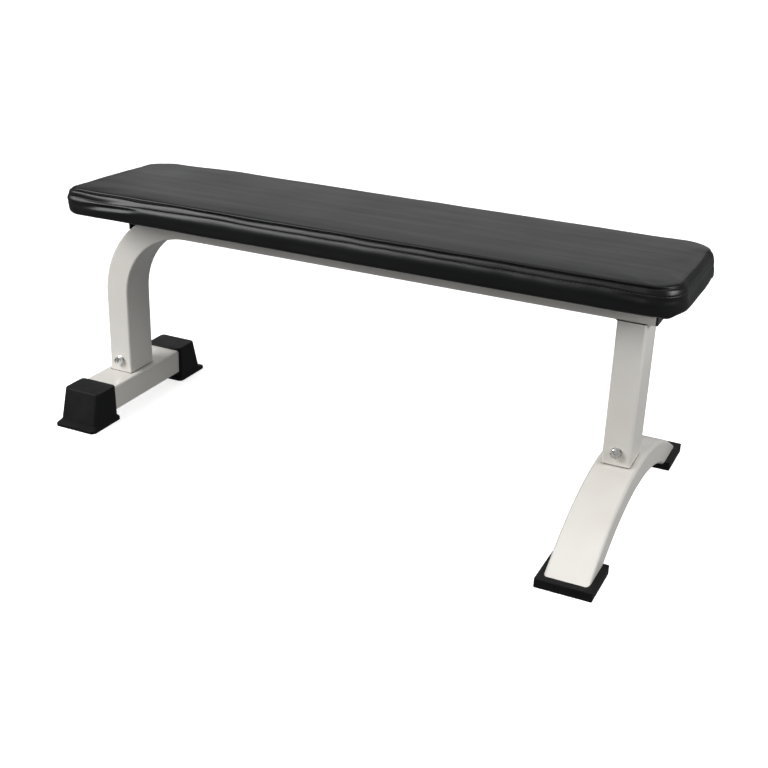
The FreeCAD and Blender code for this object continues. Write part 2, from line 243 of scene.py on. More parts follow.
def spread(tree, factor, low, high):
    """A number from low to high, for a roughness that isn't even."""
    return add(tree, "ShaderNodeMapRange", inputs={
        "Value": factor, "From Min": 0.3, "From Max": 0.7, "To Min": low, "To Max": high,
    }).outputs["Result"]


print("materials start from a Principled shader and Object coordinates")

# %% [markdown]
# The frame is mild steel tube with a polyester powder coat, sprayed dry and baked. Powder flows
# out into a thick glossy skin with a faint orange peel, a swell every three millimetres or so,
# and it is a warm off-white. A thin clear coat gives the skin's gloss over the softer body.

# %% Powder-coated steel
enamel, tree, shader, place = finish("powder_coated_steel", IOR=1.5, Coat_Weight=0.35, Coat_Roughness=0.16)
drift = add(tree, "ShaderNodeTexNoise", inputs={"Vector": place, "Scale": per_metre(90), "Detail": 2.0})
peel = add(tree, "ShaderNodeTexNoise", inputs={"Vector": place, "Scale": per_metre(3.2), "Detail": 1.5})
# Specks of dust under the coat, half a millimetre across, that show only close up.
speck = add(tree, "ShaderNodeTexNoise", inputs={"Vector": place, "Scale": per_metre(0.6), "Detail": 1.0})
tree.links.new(spread(tree, drift.outputs["Fac"], 0.36, 0.46), shader.inputs["Roughness"])
# Where one tube stands on another, a thin dark brown line is painted round the joint for the shadow
# in the gap there: painted shade. Each joint is at the top of the piece below, in the middle of a leg.
shaded_joints = [
    ("rear_base_tube", "rear_base_tube"),
    ("front_foot_tube", "front_upright"),
    ("front_upright", "front_upright"),
]
shade_line_half_height = 0.75
leg_half_depth, leg_half_width = 25.5, 38.2
apart = add(tree, "ShaderNodeSeparateXYZ", inputs={"Vector": place})
body_colour = blend_colours(tree, drift.outputs["Fac"], "#DAD6CF", "#DFDCD6")
for piece_below, piece_at_leg in shaded_joints:
    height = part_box(piece_below)[1].z + mm(0.2)
    leg_low, leg_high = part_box(piece_at_leg)
    at_height = add(tree, "ShaderNodeMath", {"operation": "COMPARE"}, {
        0: apart.outputs["Z"], 1: height, 2: mm(shade_line_half_height),
    })
    at_leg = add(tree, "ShaderNodeMath", {"operation": "COMPARE"}, {
        0: apart.outputs["X"], 1: (leg_low.x + leg_high.x) / 2, 2: mm(leg_half_depth),
    })
    under_leg = add(tree, "ShaderNodeMath", {"operation": "COMPARE"}, {
        0: apart.outputs["Y"], 1: 0.0, 2: mm(leg_half_width),
    })
    footprint = add(tree, "ShaderNodeMath", {"operation": "MULTIPLY"}, {
        0: under_leg.outputs["Value"], 1: at_leg.outputs["Value"],
    })
    joint_shade = add(tree, "ShaderNodeMath", {"operation": "MULTIPLY"}, {
        0: at_height.outputs["Value"], 1: footprint.outputs["Value"],
    })
    shade_lined = add(tree, "ShaderNodeMix", {"data_type": "RGBA"})
    tree.links.new(joint_shade.outputs["Value"], shade_lined.inputs["Factor"])
    tree.links.new(body_colour, shade_lined.inputs["A"])
    # The dark brown of the painted shade at the joint.
    shade_lined.inputs["B"].default_value = linear("#4A4038")
    body_colour = shade_lined.outputs["Result"]
tree.links.new(body_colour, shader.inputs["Base Color"])
fine = add(tree, "ShaderNodeBump", inputs={
    "Height": speck.outputs["Fac"], "Strength": 0.12, "Distance": mm(0.03),
})
skin = add(tree, "ShaderNodeBump", inputs={
    "Height": peel.outputs["Fac"], "Strength": 0.35, "Distance": mm(0.12), "Normal": fine.outputs["Normal"],
})
tree.links.new(skin.outputs["Normal"], shader.inputs["Normal"])
print("made", enamel.name)

# %% [markdown]
# The angle bracket behind the bend has a satin black powder coat, made black so that it gives the deep
# shade in the wedge between the bend and the pad: painted shade. It is the same kind of skin, sprayed
# thinner, so its orange peel is finer and its gloss is lower.

# %% Black coat on the bracket, painted shade
shade_black_coat, tree, shader, place = finish("shade_black_powder_coat", IOR=1.5, Specular_IOR_Level=0.3)
pebble = add(tree, "ShaderNodeTexNoise", inputs={"Vector": place, "Scale": per_metre(1.6), "Detail": 2.0})
tree.links.new(blend_colours(tree, pebble.outputs["Fac"], "#0C0C0C", "#141414"), shader.inputs["Base Color"])
tree.links.new(spread(tree, pebble.outputs["Fac"], 0.48, 0.6), shader.inputs["Roughness"])
satin = add(tree, "ShaderNodeBump", inputs={
    "Height": pebble.outputs["Fac"], "Strength": 0.3, "Distance": mm(0.08),
})
tree.links.new(satin.outputs["Normal"], shader.inputs["Normal"])
print("made", shade_black_coat.name)

# %% [markdown]
# Bolts, nuts, washers and tee nuts are cold-forged steel, barrel plated with bright zinc. The
# plating is a metal, so its colour is its reflection; tumbling in the barrel leaves tiny dents
# that scatter it, and the clear passivation leaves some patches cooler than others.

# %% Zinc-plated steel
zinc, tree, shader, place = finish("zinc_plated_steel", Metallic=1.0)
patch = add(tree, "ShaderNodeTexNoise", inputs={"Vector": place, "Scale": per_metre(5), "Detail": 2.0})
dent = add(tree, "ShaderNodeTexVoronoi", inputs={"Vector": place, "Scale": per_metre(1.4)})
tree.links.new(blend_colours(tree, patch.outputs["Fac"], "#C4C3BE", "#E2E4E6"), shader.inputs["Base Color"])
tree.links.new(spread(tree, patch.outputs["Fac"], 0.2, 0.36), shader.inputs["Roughness"])
tumbled = add(tree, "ShaderNodeBump", inputs={
    "Height": dent.outputs["Distance"], "Strength": 0.35, "Distance": mm(0.12),
})
tree.links.new(tumbled.outputs["Normal"], shader.inputs["Normal"])
print("made", zinc.name)

# %% [markdown]
# The boots are moulded rubber, filled with carbon black. The mould is spark-eroded, which leaves
# a fine even grain on the walls, and handling rubs a soft bloom on it, so the black is charcoal
# and never quite even. The pads under the front foot are a harder, duller mix of the same.

# %% Moulded rubber
def moulded_rubber(name, dark, light, grain_mm, low, high):
    material, tree, shader, place = finish(name, IOR=1.52, Specular_IOR_Level=0.18)
    bloom = add(tree, "ShaderNodeTexNoise", inputs={"Vector": place, "Scale": per_metre(28), "Detail": 4.0})
    grain = add(tree, "ShaderNodeTexNoise", inputs={
        "Vector": place, "Scale": per_metre(grain_mm), "Detail": 3.0, "Roughness": 0.6,
    })
    colour = blend_colours(tree, bloom.outputs["Fac"], dark, light)
    tree.links.new(colour, shader.inputs["Base Color"])
    tree.links.new(spread(tree, bloom.outputs["Fac"], low, high), shader.inputs["Roughness"])
    texture = add(tree, "ShaderNodeBump", inputs={
        "Height": grain.outputs["Fac"], "Strength": 0.5, "Distance": mm(0.18),
    })
    tree.links.new(texture.outputs["Normal"], shader.inputs["Normal"])
    return material


boot_rubber = moulded_rubber("moulded_boot_rubber", "#0A0A0A", "#121212", 1.1, 0.44, 0.58)
foot_rubber = moulded_rubber("moulded_foot_rubber", "#0C0C0C", "#131313", 0.9, 0.5, 0.66)
print("made", boot_rubber.name, foot_rubber.name)

# %% [markdown]
# The plug in the rail's end is injection-moulded polyethylene. It is waxy rather than glossy,
# and the melt's flow leaves faint streaks across its face.

# %% Moulded polyethylene
polyethylene, tree, shader, place = finish("moulded_polyethylene", IOR=1.51, Specular_IOR_Level=0.4)
stretch = add(tree, "ShaderNodeMapping", inputs={"Vector": place, "Scale": (1.0, 0.25, 1.0)})
flow = add(tree, "ShaderNodeTexNoise", inputs={
    "Vector": stretch.outputs["Vector"], "Scale": per_metre(4), "Detail": 3.0,
})
tree.links.new(blend_colours(tree, flow.outputs["Fac"], "#101011", "#19191A"), shader.inputs["Base Color"])
tree.links.new(spread(tree, flow.outputs["Fac"], 0.34, 0.48), shader.inputs["Roughness"])
waxy = add(tree, "ShaderNodeBump", inputs={
    "Height": flow.outputs["Fac"], "Strength": 0.25, "Distance": mm(0.1),
})
tree.links.new(waxy.outputs["Normal"], shader.inputs["Normal"])
print("made", polyethylene.name)

# %% [markdown]
# The pad's board is poplar plywood, nine plies in fifteen millimetres. The long grain shows as
# streaks along the board and the plies as bands on its edge. The cloth hides it, but anyone who
# takes the pad apart in the model will find wood.

# %% Poplar plywood
plywood, tree, shader, place = finish("poplar_plywood", Roughness=0.7)
along = add(tree, "ShaderNodeMapping", inputs={"Vector": place, "Scale": (0.06, 1.0, 1.0)})
grain = add(tree, "ShaderNodeTexNoise", inputs={
    "Vector": along.outputs["Vector"], "Scale": per_metre(6), "Detail": 5.0, "Distortion": 0.6,
})
# The wave node's bands repeat every tau / 20 at scale 1, and here every two plies.
ply = add(tree, "ShaderNodeTexWave", {"bands_direction": "Z"}, {
    "Vector": place, "Scale": per_metre(15 / 9 * 2) * math.tau / 20, "Distortion": 0.4,
})
wood = blend_colours(tree, grain.outputs["Fac"], "#B98F5C", "#DDBF90")
glue = blend_colours(tree, ply.outputs["Fac"], "#8F6C45", "#FFFFFF", 0.0, 0.35)
mixed = add(tree, "ShaderNodeMix", {"data_type": "RGBA", "blend_type": "MULTIPLY"}, {"Factor": 0.5})
tree.links.new(wood, mixed.inputs["A"])
tree.links.new(glue, mixed.inputs["B"])
tree.links.new(mixed.outputs["Result"], shader.inputs["Base Color"])
fibre = add(tree, "ShaderNodeBump", inputs={
    "Height": grain.outputs["Fac"], "Strength": 0.3, "Distance": mm(0.2),
})
tree.links.new(fibre.outputs["Normal"], shader.inputs["Normal"])
print("made", plywood.name)

# %% [markdown]
# The cover is PVC-coated fabric, the usual gym vinyl. It is calendered and then embossed with a
# leather grain whose cells are a little over a millimetre across. Over the long flat top it is
# pulled tight from end to end, which draws faint lengthwise streaks. Its gloss is low
# straight on and rises at a glancing angle, which the shader's own Fresnel gives. The real cells
# are too fine to show at this distance, so they are drawn at twice their size.

# %% Embossed vinyl
vinyl, tree, shader, place = finish("embossed_vinyl", IOR=1.5, Specular_IOR_Level=0.33)
cell = add(tree, "ShaderNodeTexVoronoi", {"feature": "DISTANCE_TO_EDGE"}, {
    "Vector": place, "Scale": per_metre(2.6), "Randomness": 0.9,
})
drawn = add(tree, "ShaderNodeMapping", inputs={"Vector": place, "Scale": (0.07, 1.0, 1.0)})
streak = add(tree, "ShaderNodeTexNoise", inputs={
    "Vector": drawn.outputs["Vector"], "Scale": per_metre(16), "Detail": 4.0, "Roughness": 0.62,
})
cloud = add(tree, "ShaderNodeTexNoise", inputs={"Vector": place, "Scale": per_metre(120), "Detail": 2.0})
mottle = add(tree, "ShaderNodeMath", {"operation": "ADD"}, {
    0: streak.outputs["Fac"], 1: cloud.outputs["Fac"],
})
half = add(tree, "ShaderNodeMath", {"operation": "MULTIPLY"}, {0: mottle.outputs["Value"], 1: 0.5})
tree.links.new(blend_colours(tree, half.outputs["Value"], "#080808", "#0F0F0F"), shader.inputs["Base Color"])
tree.links.new(spread(tree, half.outputs["Value"], 0.3, 0.42), shader.inputs["Roughness"])
pulled = add(tree, "ShaderNodeBump", inputs={
    "Height": streak.outputs["Fac"], "Strength": 0.3, "Distance": mm(0.3),
})
leather = add(tree, "ShaderNodeBump", inputs={
    "Height": cell.outputs["Distance"], "Strength": 0.22, "Distance": mm(0.14),
    "Normal": pulled.outputs["Normal"],
})
tree.links.new(leather.outputs["Normal"], shader.inputs["Normal"])
print("made", vinyl.name)

# %% [markdown]
# The cloth over the board's underside is spunbonded polypropylene, a non-woven: loose fibres
# pressed together at a grid of small points, which show as dimples. The thread is bonded
# polyester, and the staples are galvanised wire.

# %% Non-woven cloth, thread and staple wire
nonwoven, tree, shader, place = finish("spunbonded_polypropylene", Roughness=0.88, Specular_IOR_Level=0.2)
# The real bond points are 1 mm apart, drawn at 3 mm so that they show.
bond = add(tree, "ShaderNodeTexVoronoi", inputs={"Vector": place, "Scale": per_metre(3), "Randomness": 0.15})
web = add(tree, "ShaderNodeTexNoise", inputs={"Vector": place, "Scale": per_metre(12), "Detail": 6.0})
tree.links.new(blend_colours(tree, web.outputs["Fac"], "#161616", "#262626"), shader.inputs["Base Color"])
dimple = add(tree, "ShaderNodeBump", inputs={
    "Height": bond.outputs["Distance"], "Strength": 0.6, "Distance": mm(0.3),
})
tree.links.new(dimple.outputs["Normal"], shader.inputs["Normal"])

thread, tree, shader, place = finish("bonded_polyester_thread", Specular_IOR_Level=0.5)
ply_lay = add(tree, "ShaderNodeTexNoise", inputs={"Vector": place, "Scale": per_metre(0.9), "Detail": 1.0})
tree.links.new(blend_colours(tree, ply_lay.outputs["Fac"], "#1C1C1C", "#343434"), shader.inputs["Base Color"])
tree.links.new(spread(tree, ply_lay.outputs["Fac"], 0.3, 0.5), shader.inputs["Roughness"])

wire, tree, shader, place = finish("galvanised_staple_wire", Metallic=1.0)
drawn_wire = add(tree, "ShaderNodeTexNoise", inputs={"Vector": place, "Scale": per_metre(2), "Detail": 2.0})
bright_zinc = blend_colours(tree, drawn_wire.outputs["Fac"], "#A9ABAC", "#CFD1D2")
tree.links.new(bright_zinc, shader.inputs["Base Color"])
tree.links.new(spread(tree, drawn_wire.outputs["Fac"], 0.28, 0.44), shader.inputs["Roughness"])
print("made", nonwoven.name, thread.name, wire.name)

# %% [markdown]
# Each piece from the engineering model keeps its shape and takes the finish that its real
# counterpart has. The finish goes in the piece's material slot, and the record's slot name
# says which piece belongs to which.

# %% Finishes on the engineering pieces
slot_finish = {
    "frame_enamel": enamel,
    "bracket_black": shade_black_coat,
    "plated_steel": zinc,
    "boot_rubber": boot_rubber,
    "foot_rubber": foot_rubber,
    "plug_plastic": polyethylene,
    "board_wood": plywood,
    "cover_vinyl": vinyl,
    "dust_cloth": nonwoven,
    "foam": nonwoven,
}
finish_of = {
    "main_frame_tube": "frame_enamel", "front_upright": "frame_enamel",
    "rear_base_tube": "frame_enamel", "front_foot_tube": "frame_enamel",
    "rear_leg_socket": "frame_enamel", "front_upright_socket": "frame_enamel",
    # The bracket takes the black coat that is painted shade for the wedge under the pad's rear end.
    "rear_pad_bracket": "bracket_black",
    "rear_boot_left": "boot_rubber", "rear_boot_right": "boot_rubber",
    "front_foot_pad_left": "foot_rubber", "front_foot_pad_right": "foot_rubber",
    "rail_end_plug": "plug_plastic", "pad_board": "board_wood",
    "pad_foam": "foam", "pad_cover": "cover_vinyl", "pad_dust_cloth": "dust_cloth",
}
for name, piece in nodes.items():
    material = slot_finish[finish_of.get(name, "plated_steel")]
    if not piece.material_slots:
        piece.data.materials.append(material)
    for held in piece.material_slots:
        held.material = material
print("finished", sorted(nodes))

# %% [markdown]
# The pad is foam over the board, with a boxed cover: a top panel sewn to a side border. Two
# things make it look soft: it swells under its own stuffing, and the seam cuts a crisp groove.
# A cloth simulation gives the first and washes out the second. So a plain block of the pad's
# size is inflated to learn how far each place moves, and that movement is then passed on to a
# finer skin, drawn ring by ring, that already has the seam in its section.

# %% Size of the pad
low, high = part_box("pad_cover")
pad_middle = Vector(((low.x + high.x) / 2, (low.y + high.y) / 2, low.z))
pad_length = (high.x - low.x) * 1000
pad_width = (high.y - low.y) * 1000
pad_height = (high.z - low.z) * 1000
# Plan radii of the corners: far right, far left, near left and near right. They aren't alike,
# because the cover is pulled round the board by hand.
pad_corners = (52.0, 60.0, 22.0, 53.0)
print("pad", round(pad_length, 1), round(pad_width, 1), round(pad_height, 1), "mm")

# %% [markdown]
# The skin is drawn ring by ring, so one function gives a rounded rectangle at any distance in
# from the pad's outline. Each ring has the same number of points, which lets any two rings be
# joined point to point.

# %% Ring around the pad
straight_x, straight_y, round_steps = 256, 44, 26


def ring(inset):
    """A rounded rectangle, in millimetres from the pad's middle, with the same count at any inset."""
    half_x = pad_length / 2 - inset
    half_y = pad_width / 2 - inset
    radii = [min(max(corner - inset, 9.0), half_y - 1.0) for corner in pad_corners]
    points = []
    for quarter, radius in enumerate(radii):
        turn_x = 1 if quarter in (0, 3) else -1
        turn_y = 1 if quarter in (0, 1) else -1
        centre = Vector((turn_x * (half_x - radius), turn_y * (half_y - radius), 0.0))
        for i in range(round_steps):
            angle = math.pi / 2 * (quarter + i / round_steps)
            points.append(centre + Vector((math.cos(angle), math.sin(angle), 0.0)) * radius)
        run = straight_x if quarter in (0, 2) else straight_y
        across = Vector((-turn_x, 0.0, 0.0)) if quarter in (0, 2) else Vector((0.0, -turn_y, 0.0))
        pair = radius + radii[(quarter + 1) % 4]
        reach_out = 2 * half_x - pair if quarter in (0, 2) else 2 * half_y - pair
        angle = math.pi / 2 * (quarter + 1)
        start = centre + Vector((math.cos(angle), math.sin(angle), 0.0)) * radius
        points += [start + across * (reach_out * i / run) for i in range(run)]
    return points


count = len(ring(0.0))
print("points in a ring", count)

# %% [markdown]
# The section goes from the edge that is turned in under the board, round the bottom, up the
# bulging side, over the border's folded band with its row of stitches, into the seam's groove
# and on to the top panel. Each entry is how far in from the outline and how high. The steps are
# short where the shape turns quickly, and long on the flat top.

# %% Section of the cover
section = [
    (34.0, 0.9), (33.6, 0.1), (28.0, 0.0), (21.0, 0.0), (15.0, 0.0), (11.0, 0.0), (8.2, 0.2), (5.4, 0.9),
    (3.4, 2.6), (2.2, 5.4), (1.4, 9.3), (0.9, 13.5), (0.3, 18.0), (0.0, 21.5), (0.1, 24.3), (0.5, 27.0),
    (1.1, 29.2), (1.8, 31.1), (2.5, 32.7), (3.3, 33.8), (4.0, 34.5), (3.8, 35.3), (3.6, 36.1), (3.7, 37.1),
    (4.1, 38.5), (4.7, 40.0), (5.4, 41.5), (6.2, 42.9), (7.0, 43.9), (8.1, 44.5), (9.4, 44.7), (10.4, 45.2),
    (10.5, 45.9), (9.6, 46.1), (8.6, 46.4), (8.0, 47.0), (7.9, 47.9), (8.5, 48.8), (9.9, 49.4), (12.2, 49.75),
    (15.5, 49.85), (19.5, 49.85),
]
stitch_row = 20
flat_insets = [24.0 + 4.7 * i for i in range(25)]
section += [(inset, 49.85) for inset in flat_insets]
print("rings", len(section), "quads", len(section) * count)

# %% [markdown]
# The simulated block starts a few millimetres small, because inflating it makes it grow. It is
# remeshed into even seven-millimetre cells, so that the cloth bends the same everywhere. Points
# on the underside are pinned, since there the cover is stapled to a flat board. Gravity is off
# for the cloth: foam holds it up.

# %% Plain block of the pad
cell_size = 7.0


def plain_block():
    points, faces = [], []
    levels = [(8.0, 0.0), (1.5, 8.0), (1.0, 25.0), (3.0, 42.0), (10.0, 46.5)]
    for inset, height in levels:
        points += [p + Vector((0, 0, height)) for p in ring(inset)]
    for level_index in range(len(levels) - 1):
        for i in range(count):
            a = level_index * count + i
            b = level_index * count + (i + 1) % count
            faces.append((a, b, b + count, a + count))
    faces.append(tuple(reversed(range(count))))
    faces.append(tuple(range((len(levels) - 1) * count, len(levels) * count)))
    scaled = [p / 1000.0 + pad_middle for p in points]
    return mesh_object("pad_block", scaled, faces)


def even_cells(piece, size_mm):
    """The piece's mesh remeshed in cells of one size."""
    remesh = piece.modifiers.new("even_cells", "REMESH")
    remesh.mode = "VOXEL"
    remesh.voxel_size = mm(size_mm)
    evaluated = piece.evaluated_get(bpy.context.evaluated_depsgraph_get())
    cells = bpy.data.meshes.new_from_object(evaluated)
    piece.modifiers.remove(remesh)
    piece.data = cells
    return [vertex.co.copy() for vertex in cells.vertices]


block = plain_block()
rest = even_cells(block, cell_size)
print("block cells", len(rest))

# %% Inflate the block
frames_run = 18
most_swell = mm(5.0)
stapled_height = mm(4)


def inflate(piece):
    """Where each point goes when the block is blown up gently, as a list of movements."""
    stapled = piece.vertex_groups.new(name="stapled")
    stapled.add([i for i, p in enumerate(rest) if p.z < pad_middle.z + stapled_height], 1.0, "REPLACE")
    cloth = piece.modifiers.new("inflate", "CLOTH")
    cloth.settings.vertex_group_mass = "stapled"
    cloth.settings.use_pressure = True
    cloth.settings.uniform_pressure_force = 4.0
    cloth.settings.quality = 6
    cloth.settings.tension_stiffness = 18.0
    cloth.settings.bending_stiffness = 1.2
    cloth.settings.effector_weights.gravity = 0.0
    cloth.point_cache.frame_start = 1
    cloth.point_cache.frame_end = frames_run
    for step in range(1, frames_run + 1):
        bpy.context.scene.frame_set(step)
    evaluated = piece.evaluated_get(bpy.context.evaluated_depsgraph_get())
    swollen = bpy.data.meshes.new_from_object(evaluated)
    moves = [vertex.co - before for vertex, before in zip(swollen.vertices, rest)]
    piece.modifiers.remove(cloth)
    bpy.data.meshes.remove(swollen)
    bpy.context.scene.frame_set(1)
    return [move * (most_swell / move.length) if move.length > most_swell else move for move in moves]


movements = inflate(block)
print("largest swell", round(max(m.length for m in movements) * 1000, 2), "mm")

# %% [markdown]
# A tree of the block's points finds, for each point of the finer skin, the nearest few, and
# their average movement is passed on. The average smooths out the cells of the coarse mesh.

# %% Pass the swelling on
finder = kdtree.KDTree(len(rest))
for index, point in enumerate(rest):
    finder.insert(point, index)
finder.balance()
neighbours = 10
rise_kept = 0.45
draw_in_kept = 0.2


def swell_at(point, outward):
    """The block's movement here. Firm foam rises less than the block does, and a board keeps the
    sides from being drawn in far."""
    total, weight_sum = Vector((0, 0, 0)), 0.0
    for found, index, distance in finder.find_n(point, neighbours):
        weight = 1.0 / (distance + mm(5)) ** 2
        total += movements[index] * weight
        weight_sum += weight
    move = total / weight_sum
    move.z *= rise_kept
    drawn_in = min(move.dot(outward), 0.0)
    return move - outward * (drawn_in * (1.0 - draw_in_kept))


print("swell in the middle of the top",
      round(swell_at(pad_middle + Vector((0, 0, mm(48))), Vector((0, -1, 0))).z * 1000, 2), "mm")

# %% [markdown]
# Hand-stapled vinyl is never straight. The border wanders by a millimetre along the side, its
# lower edge waves where the staples pull, the sides draw in a little between the corners, and at
# the corners the spare cloth folds into a long shallow pleat. The top is drawn lengthwise and
# keeps faint ripples. These are small moves in code, from smooth noise with fixed seeds.

# %% Hand-made unevenness
def wander(along_mm, size_mm, seed):
    """Smooth noise from about -1 to 1 along a length."""
    return 2.0 * noise.noise(Vector((along_mm / size_mm, seed * 7.3, 0.5)))


def bell(value, centre, half):
    """One at the centre and nothing beyond half, smoothly."""
    t = min(abs(value - centre) / half, 1.0)
    return (1.0 + math.cos(math.pi * t)) / 2.0


def near(point, place, half):
    """A bell in plan: one at the place and nothing beyond half."""
    return bell((Vector((point.x, point.y, 0.0)) - place).length, 0.0, half)


# How much the cover stands proud at the two ends, and the round shoulder of each end: the height
# where it starts and how far in it goes.
right_end_proud, left_end_proud = 4.5, 7.5
left_shoulder = (21.5, 15.5)
right_shoulder = (29.0, 11.5)
shoulder_top = 49.9
far_left_corner = Vector((-pad_length / 2 + 20, pad_width / 2 - 20, 0.0))
hanging_corner = Vector((pad_length / 2 - 16, -pad_width / 2 + 16, 0.0))


def uneven(point, outward, inset, height, along):
    """The small move of one skin point, in millimetres from the pad's middle."""
    move = Vector((0.0, 0.0, 0.0))
    side_part = bell(height, 24.0, 26.0) if inset < 20 else 0.0
    border = bell(height, 40.0, 12.0) if inset < 16 else 0.0
    lower = bell(height, 3.0, 13.0) if inset < 20 else 0.0
    reach_x = min(abs(point.x) / (pad_length / 2), 1.0)
    reach_y = min(abs(point.y) / (pad_width / 2), 1.0)
    draw_in = 1.3 * (1 - reach_x ** 4) if abs(outward.y) > 0.7 else 1.0 * (1 - reach_y ** 2)
    if inset < 30:
        move -= outward * draw_in * (1 - inset / 30) * min(height / 20.0, 1.0)
    move += outward * (0.7 * side_part * wander(along, 95, 1) + 0.45 * side_part * wander(along, 38, 2))
    move.z += border * (0.9 * wander(along, 120, 3) + 0.3 * wander(along, 42, 4))
    # The board holds the lower edge, so its waves only stand out from it.
    wave = 0.9 * wander(along, 60, 5) + 0.4 * wander(along, 24, 6)
    move += outward * lower * max(wave, -0.2)
    # The border dips near the left end of the front side, and the seam wanders all the way round.
    dip = bell(point.x, -420.0, 190.0) if outward.y < 0 else 0.0
    if inset < 16:
        move.z -= 3.2 * dip * bell(height, 38.0, 15.0)
        move.z -= bell(height, 45.5, 7.5) * bell(inset, 7.0, 9.0) * (0.4 + 0.9 * wander(along, 75, 7))
    # The cover stands a little proud of both ends, most at the near left corner, and the far left
    # corner of the top is drawn down.
    end_share = min(height / 6.0, 1.0) * max(1 - inset / 60, 0)
    if point.x > 0:
        move.x += right_end_proud * max(outward.x, 0.0) * end_share
    else:
        nearness = max(0.5 - point.y / pad_width, 0.0)
        move.x -= left_end_proud * nearness * max(-outward.x, 0.0) * end_share
    # Round the ends the cover is pulled over the foam's corner, so the shoulder is one round curve
    # with shallow creases in place of the band and the groove.
    if inset < 19 and height > 22:
        round_part = bell(min(abs(outward.x), 0.7), 0.7, 0.6)
        start, width = left_shoulder if point.x < 0 else right_shoulder
        climb = max(height - start, 0.0) / (shoulder_top - start)
        shoulder = width * (1.0 - math.sqrt(1.0 - climb ** 2))
        crease = 0.7 * bell(height, 34.5, 1.6) + 1.7 * bell(height, 45.7, 2.2)
        move += outward * round_part * (inset - shoulder - crease)
    if point.x < 0:
        move += outward * max(-outward.x, 0.0) * 2.6 * bell(height, 28.0, 18.0)
        if inset < 16 and outward.y < 0:
            move += outward * 2.2 * bell(height, 43.5, 8.0) * bell(point.x, -560.0, 150.0)
    else:
        move += outward * max(outward.x, 0.0) * 5.0 * bell(height, 11.0, 16.0) * (1 - reach_y ** 2)
    move.z -= 4.5 * near(point, far_left_corner, 190.0) * min(height / 40.0, 1.0)
    if inset < 20 and height < 12:
        move.z -= 4.0 * near(point, hanging_corner, 20.0)
    if inset > 10:
        spread_in = min((inset - 10) / 25, 1.0)
        ripple = noise.noise(Vector((point.x / 330, point.y / 21, 3.0)))
        ripple += 0.5 * noise.noise(Vector((point.x / 160, point.y / 11, 9.0)))
        move.z += 0.26 * spread_in * ripple if height > 40 else 0.0
    return move


print("wander samples", [round(wander(x, 95, 1), 2) for x in (0, 100, 200, 300)])

# %% [markdown]
# At each corner the border has cloth to spare, and it gathers into a long hollow with a ridge on
# either side, which fades along the side. The ends are pulled smooth, so the pleats leave them out.

# %% Corner pleats
# Each pleat's end of the bench and side of it, then its length, height and depth in millimetres.
pleats = [
    (-1, -1, 150.0, 21.0, 3.8),
    (1, -1, 80.0, 27.0, 1.6),
    (-1, 1, 110.0, 24.0, 2.2),
    (1, 1, 95.0, 19.0, 2.0),
]


def pleat(point, outward, inset, height):
    """A long hollow with a ridge above and below it, that runs out from a corner of the side."""
    move = Vector((0.0, 0.0, 0.0))
    if inset > 12 or height < 4:
        return move
    for end_x, end_y, length, middle, depth in pleats:
        corner = Vector((end_x * (pad_length / 2 - 30), end_y * (pad_width / 2), 0.0))
        away = (Vector((point.x, point.y, 0.0)) - corner).length
        fade = bell(away, 0.42 * length, 0.58 * length) * abs(outward.y) ** 2
        line = middle + 0.05 * away
        hollow = bell(height, line, 6.4)
        ridge = bell(height, line + 8.0, 5.5) + bell(height, line - 8.0, 5.5)
        move += outward * fade * depth * (0.45 * ridge - hollow)
    return move


print("pleats", len(pleats))

# %% [markdown]
# The skin is now built: each ring's points take their place, their swelling and their
# unevenness, and neighbouring rings are joined with four-sided faces. The two innermost rings
# are long narrow loops, and a strip across each closes it, so the skin is one closed form.

# %% Build the skin
outer_ring = ring(0.0)
inner_ring = ring(1.0)
directions = [(a - b).normalized() for a, b in zip(outer_ring, inner_ring)]
lengths, travelled = [], 0.0
for i, here in enumerate(outer_ring):
    lengths.append(travelled)
    travelled += (outer_ring[(i + 1) % count] - here).length


def skin_points():
    rows = []
    for inset, height in section:
        row = []
        for i, point in enumerate(ring(inset)):
            place = point + Vector((0.0, 0.0, height))
            small = uneven(place, directions[i], inset, height, lengths[i])
            small += pleat(place, directions[i], inset, height)
            world_place = (place + small) / 1000.0 + pad_middle
            if height > 3.0:
                swell = swell_at(place / 1000.0 + pad_middle, directions[i])
                world_place += swell * min(height / 12.0, 1.0)
            row.append(world_place)
        rows.append(row)
    return rows


def close_loop(first, facing_up):
    """Faces across a long loop that starts at this point number, from the right end to the left."""
    middle = count - straight_y // 2
    faces = []
    for i in range(count // 2):
        corners = [middle - i, middle + i, middle + i + 1, middle - i - 1]
        loop = list(dict.fromkeys(first + c % count for c in corners))
        faces.append(tuple(loop) if facing_up else tuple(reversed(loop)))
    return faces


rows = skin_points()
flat_points = [p for row in rows for p in row]
faces = []
for level_index in range(len(rows) - 1):
    for i in range(count):
        a = level_index * count + i
        b = level_index * count + (i + 1) % count
        faces.append((a, b, b + count, a + count))
faces += close_loop(0, False)
faces += close_loop((len(rows) - 1) * count, True)
pad = mesh_object("pad_cushion", flat_points, faces)
pad.data.materials.append(vinyl)
bpy.data.objects.remove(block)
print("skin points", len(flat_points), "faces", len(faces))

# %% [markdown]
# The row of stitches on the border's band is a lock stitch, six to the inch and a half. Geometry
# Nodes lay one stitch at each step along a path that follows the skin, turned along it. The path
# comes from the skin's own ring, pushed a little outwards, so the thread lies on the vinyl.

# %% Tools for repeats along a path
def path_object(name, points, closed=True):
    """A polyline as an edge-only mesh, for a node tree to read."""
    mesh = bpy.data.meshes.new(name)
    edges = [(i, i + 1) for i in range(len(points) - 1)]
    if closed:
        edges.append((len(points) - 1, 0))
    mesh.from_pydata(points, edges, [])
    made = bpy.data.objects.new(name, mesh)
    bpy.context.scene.collection.objects.link(made)
    return made


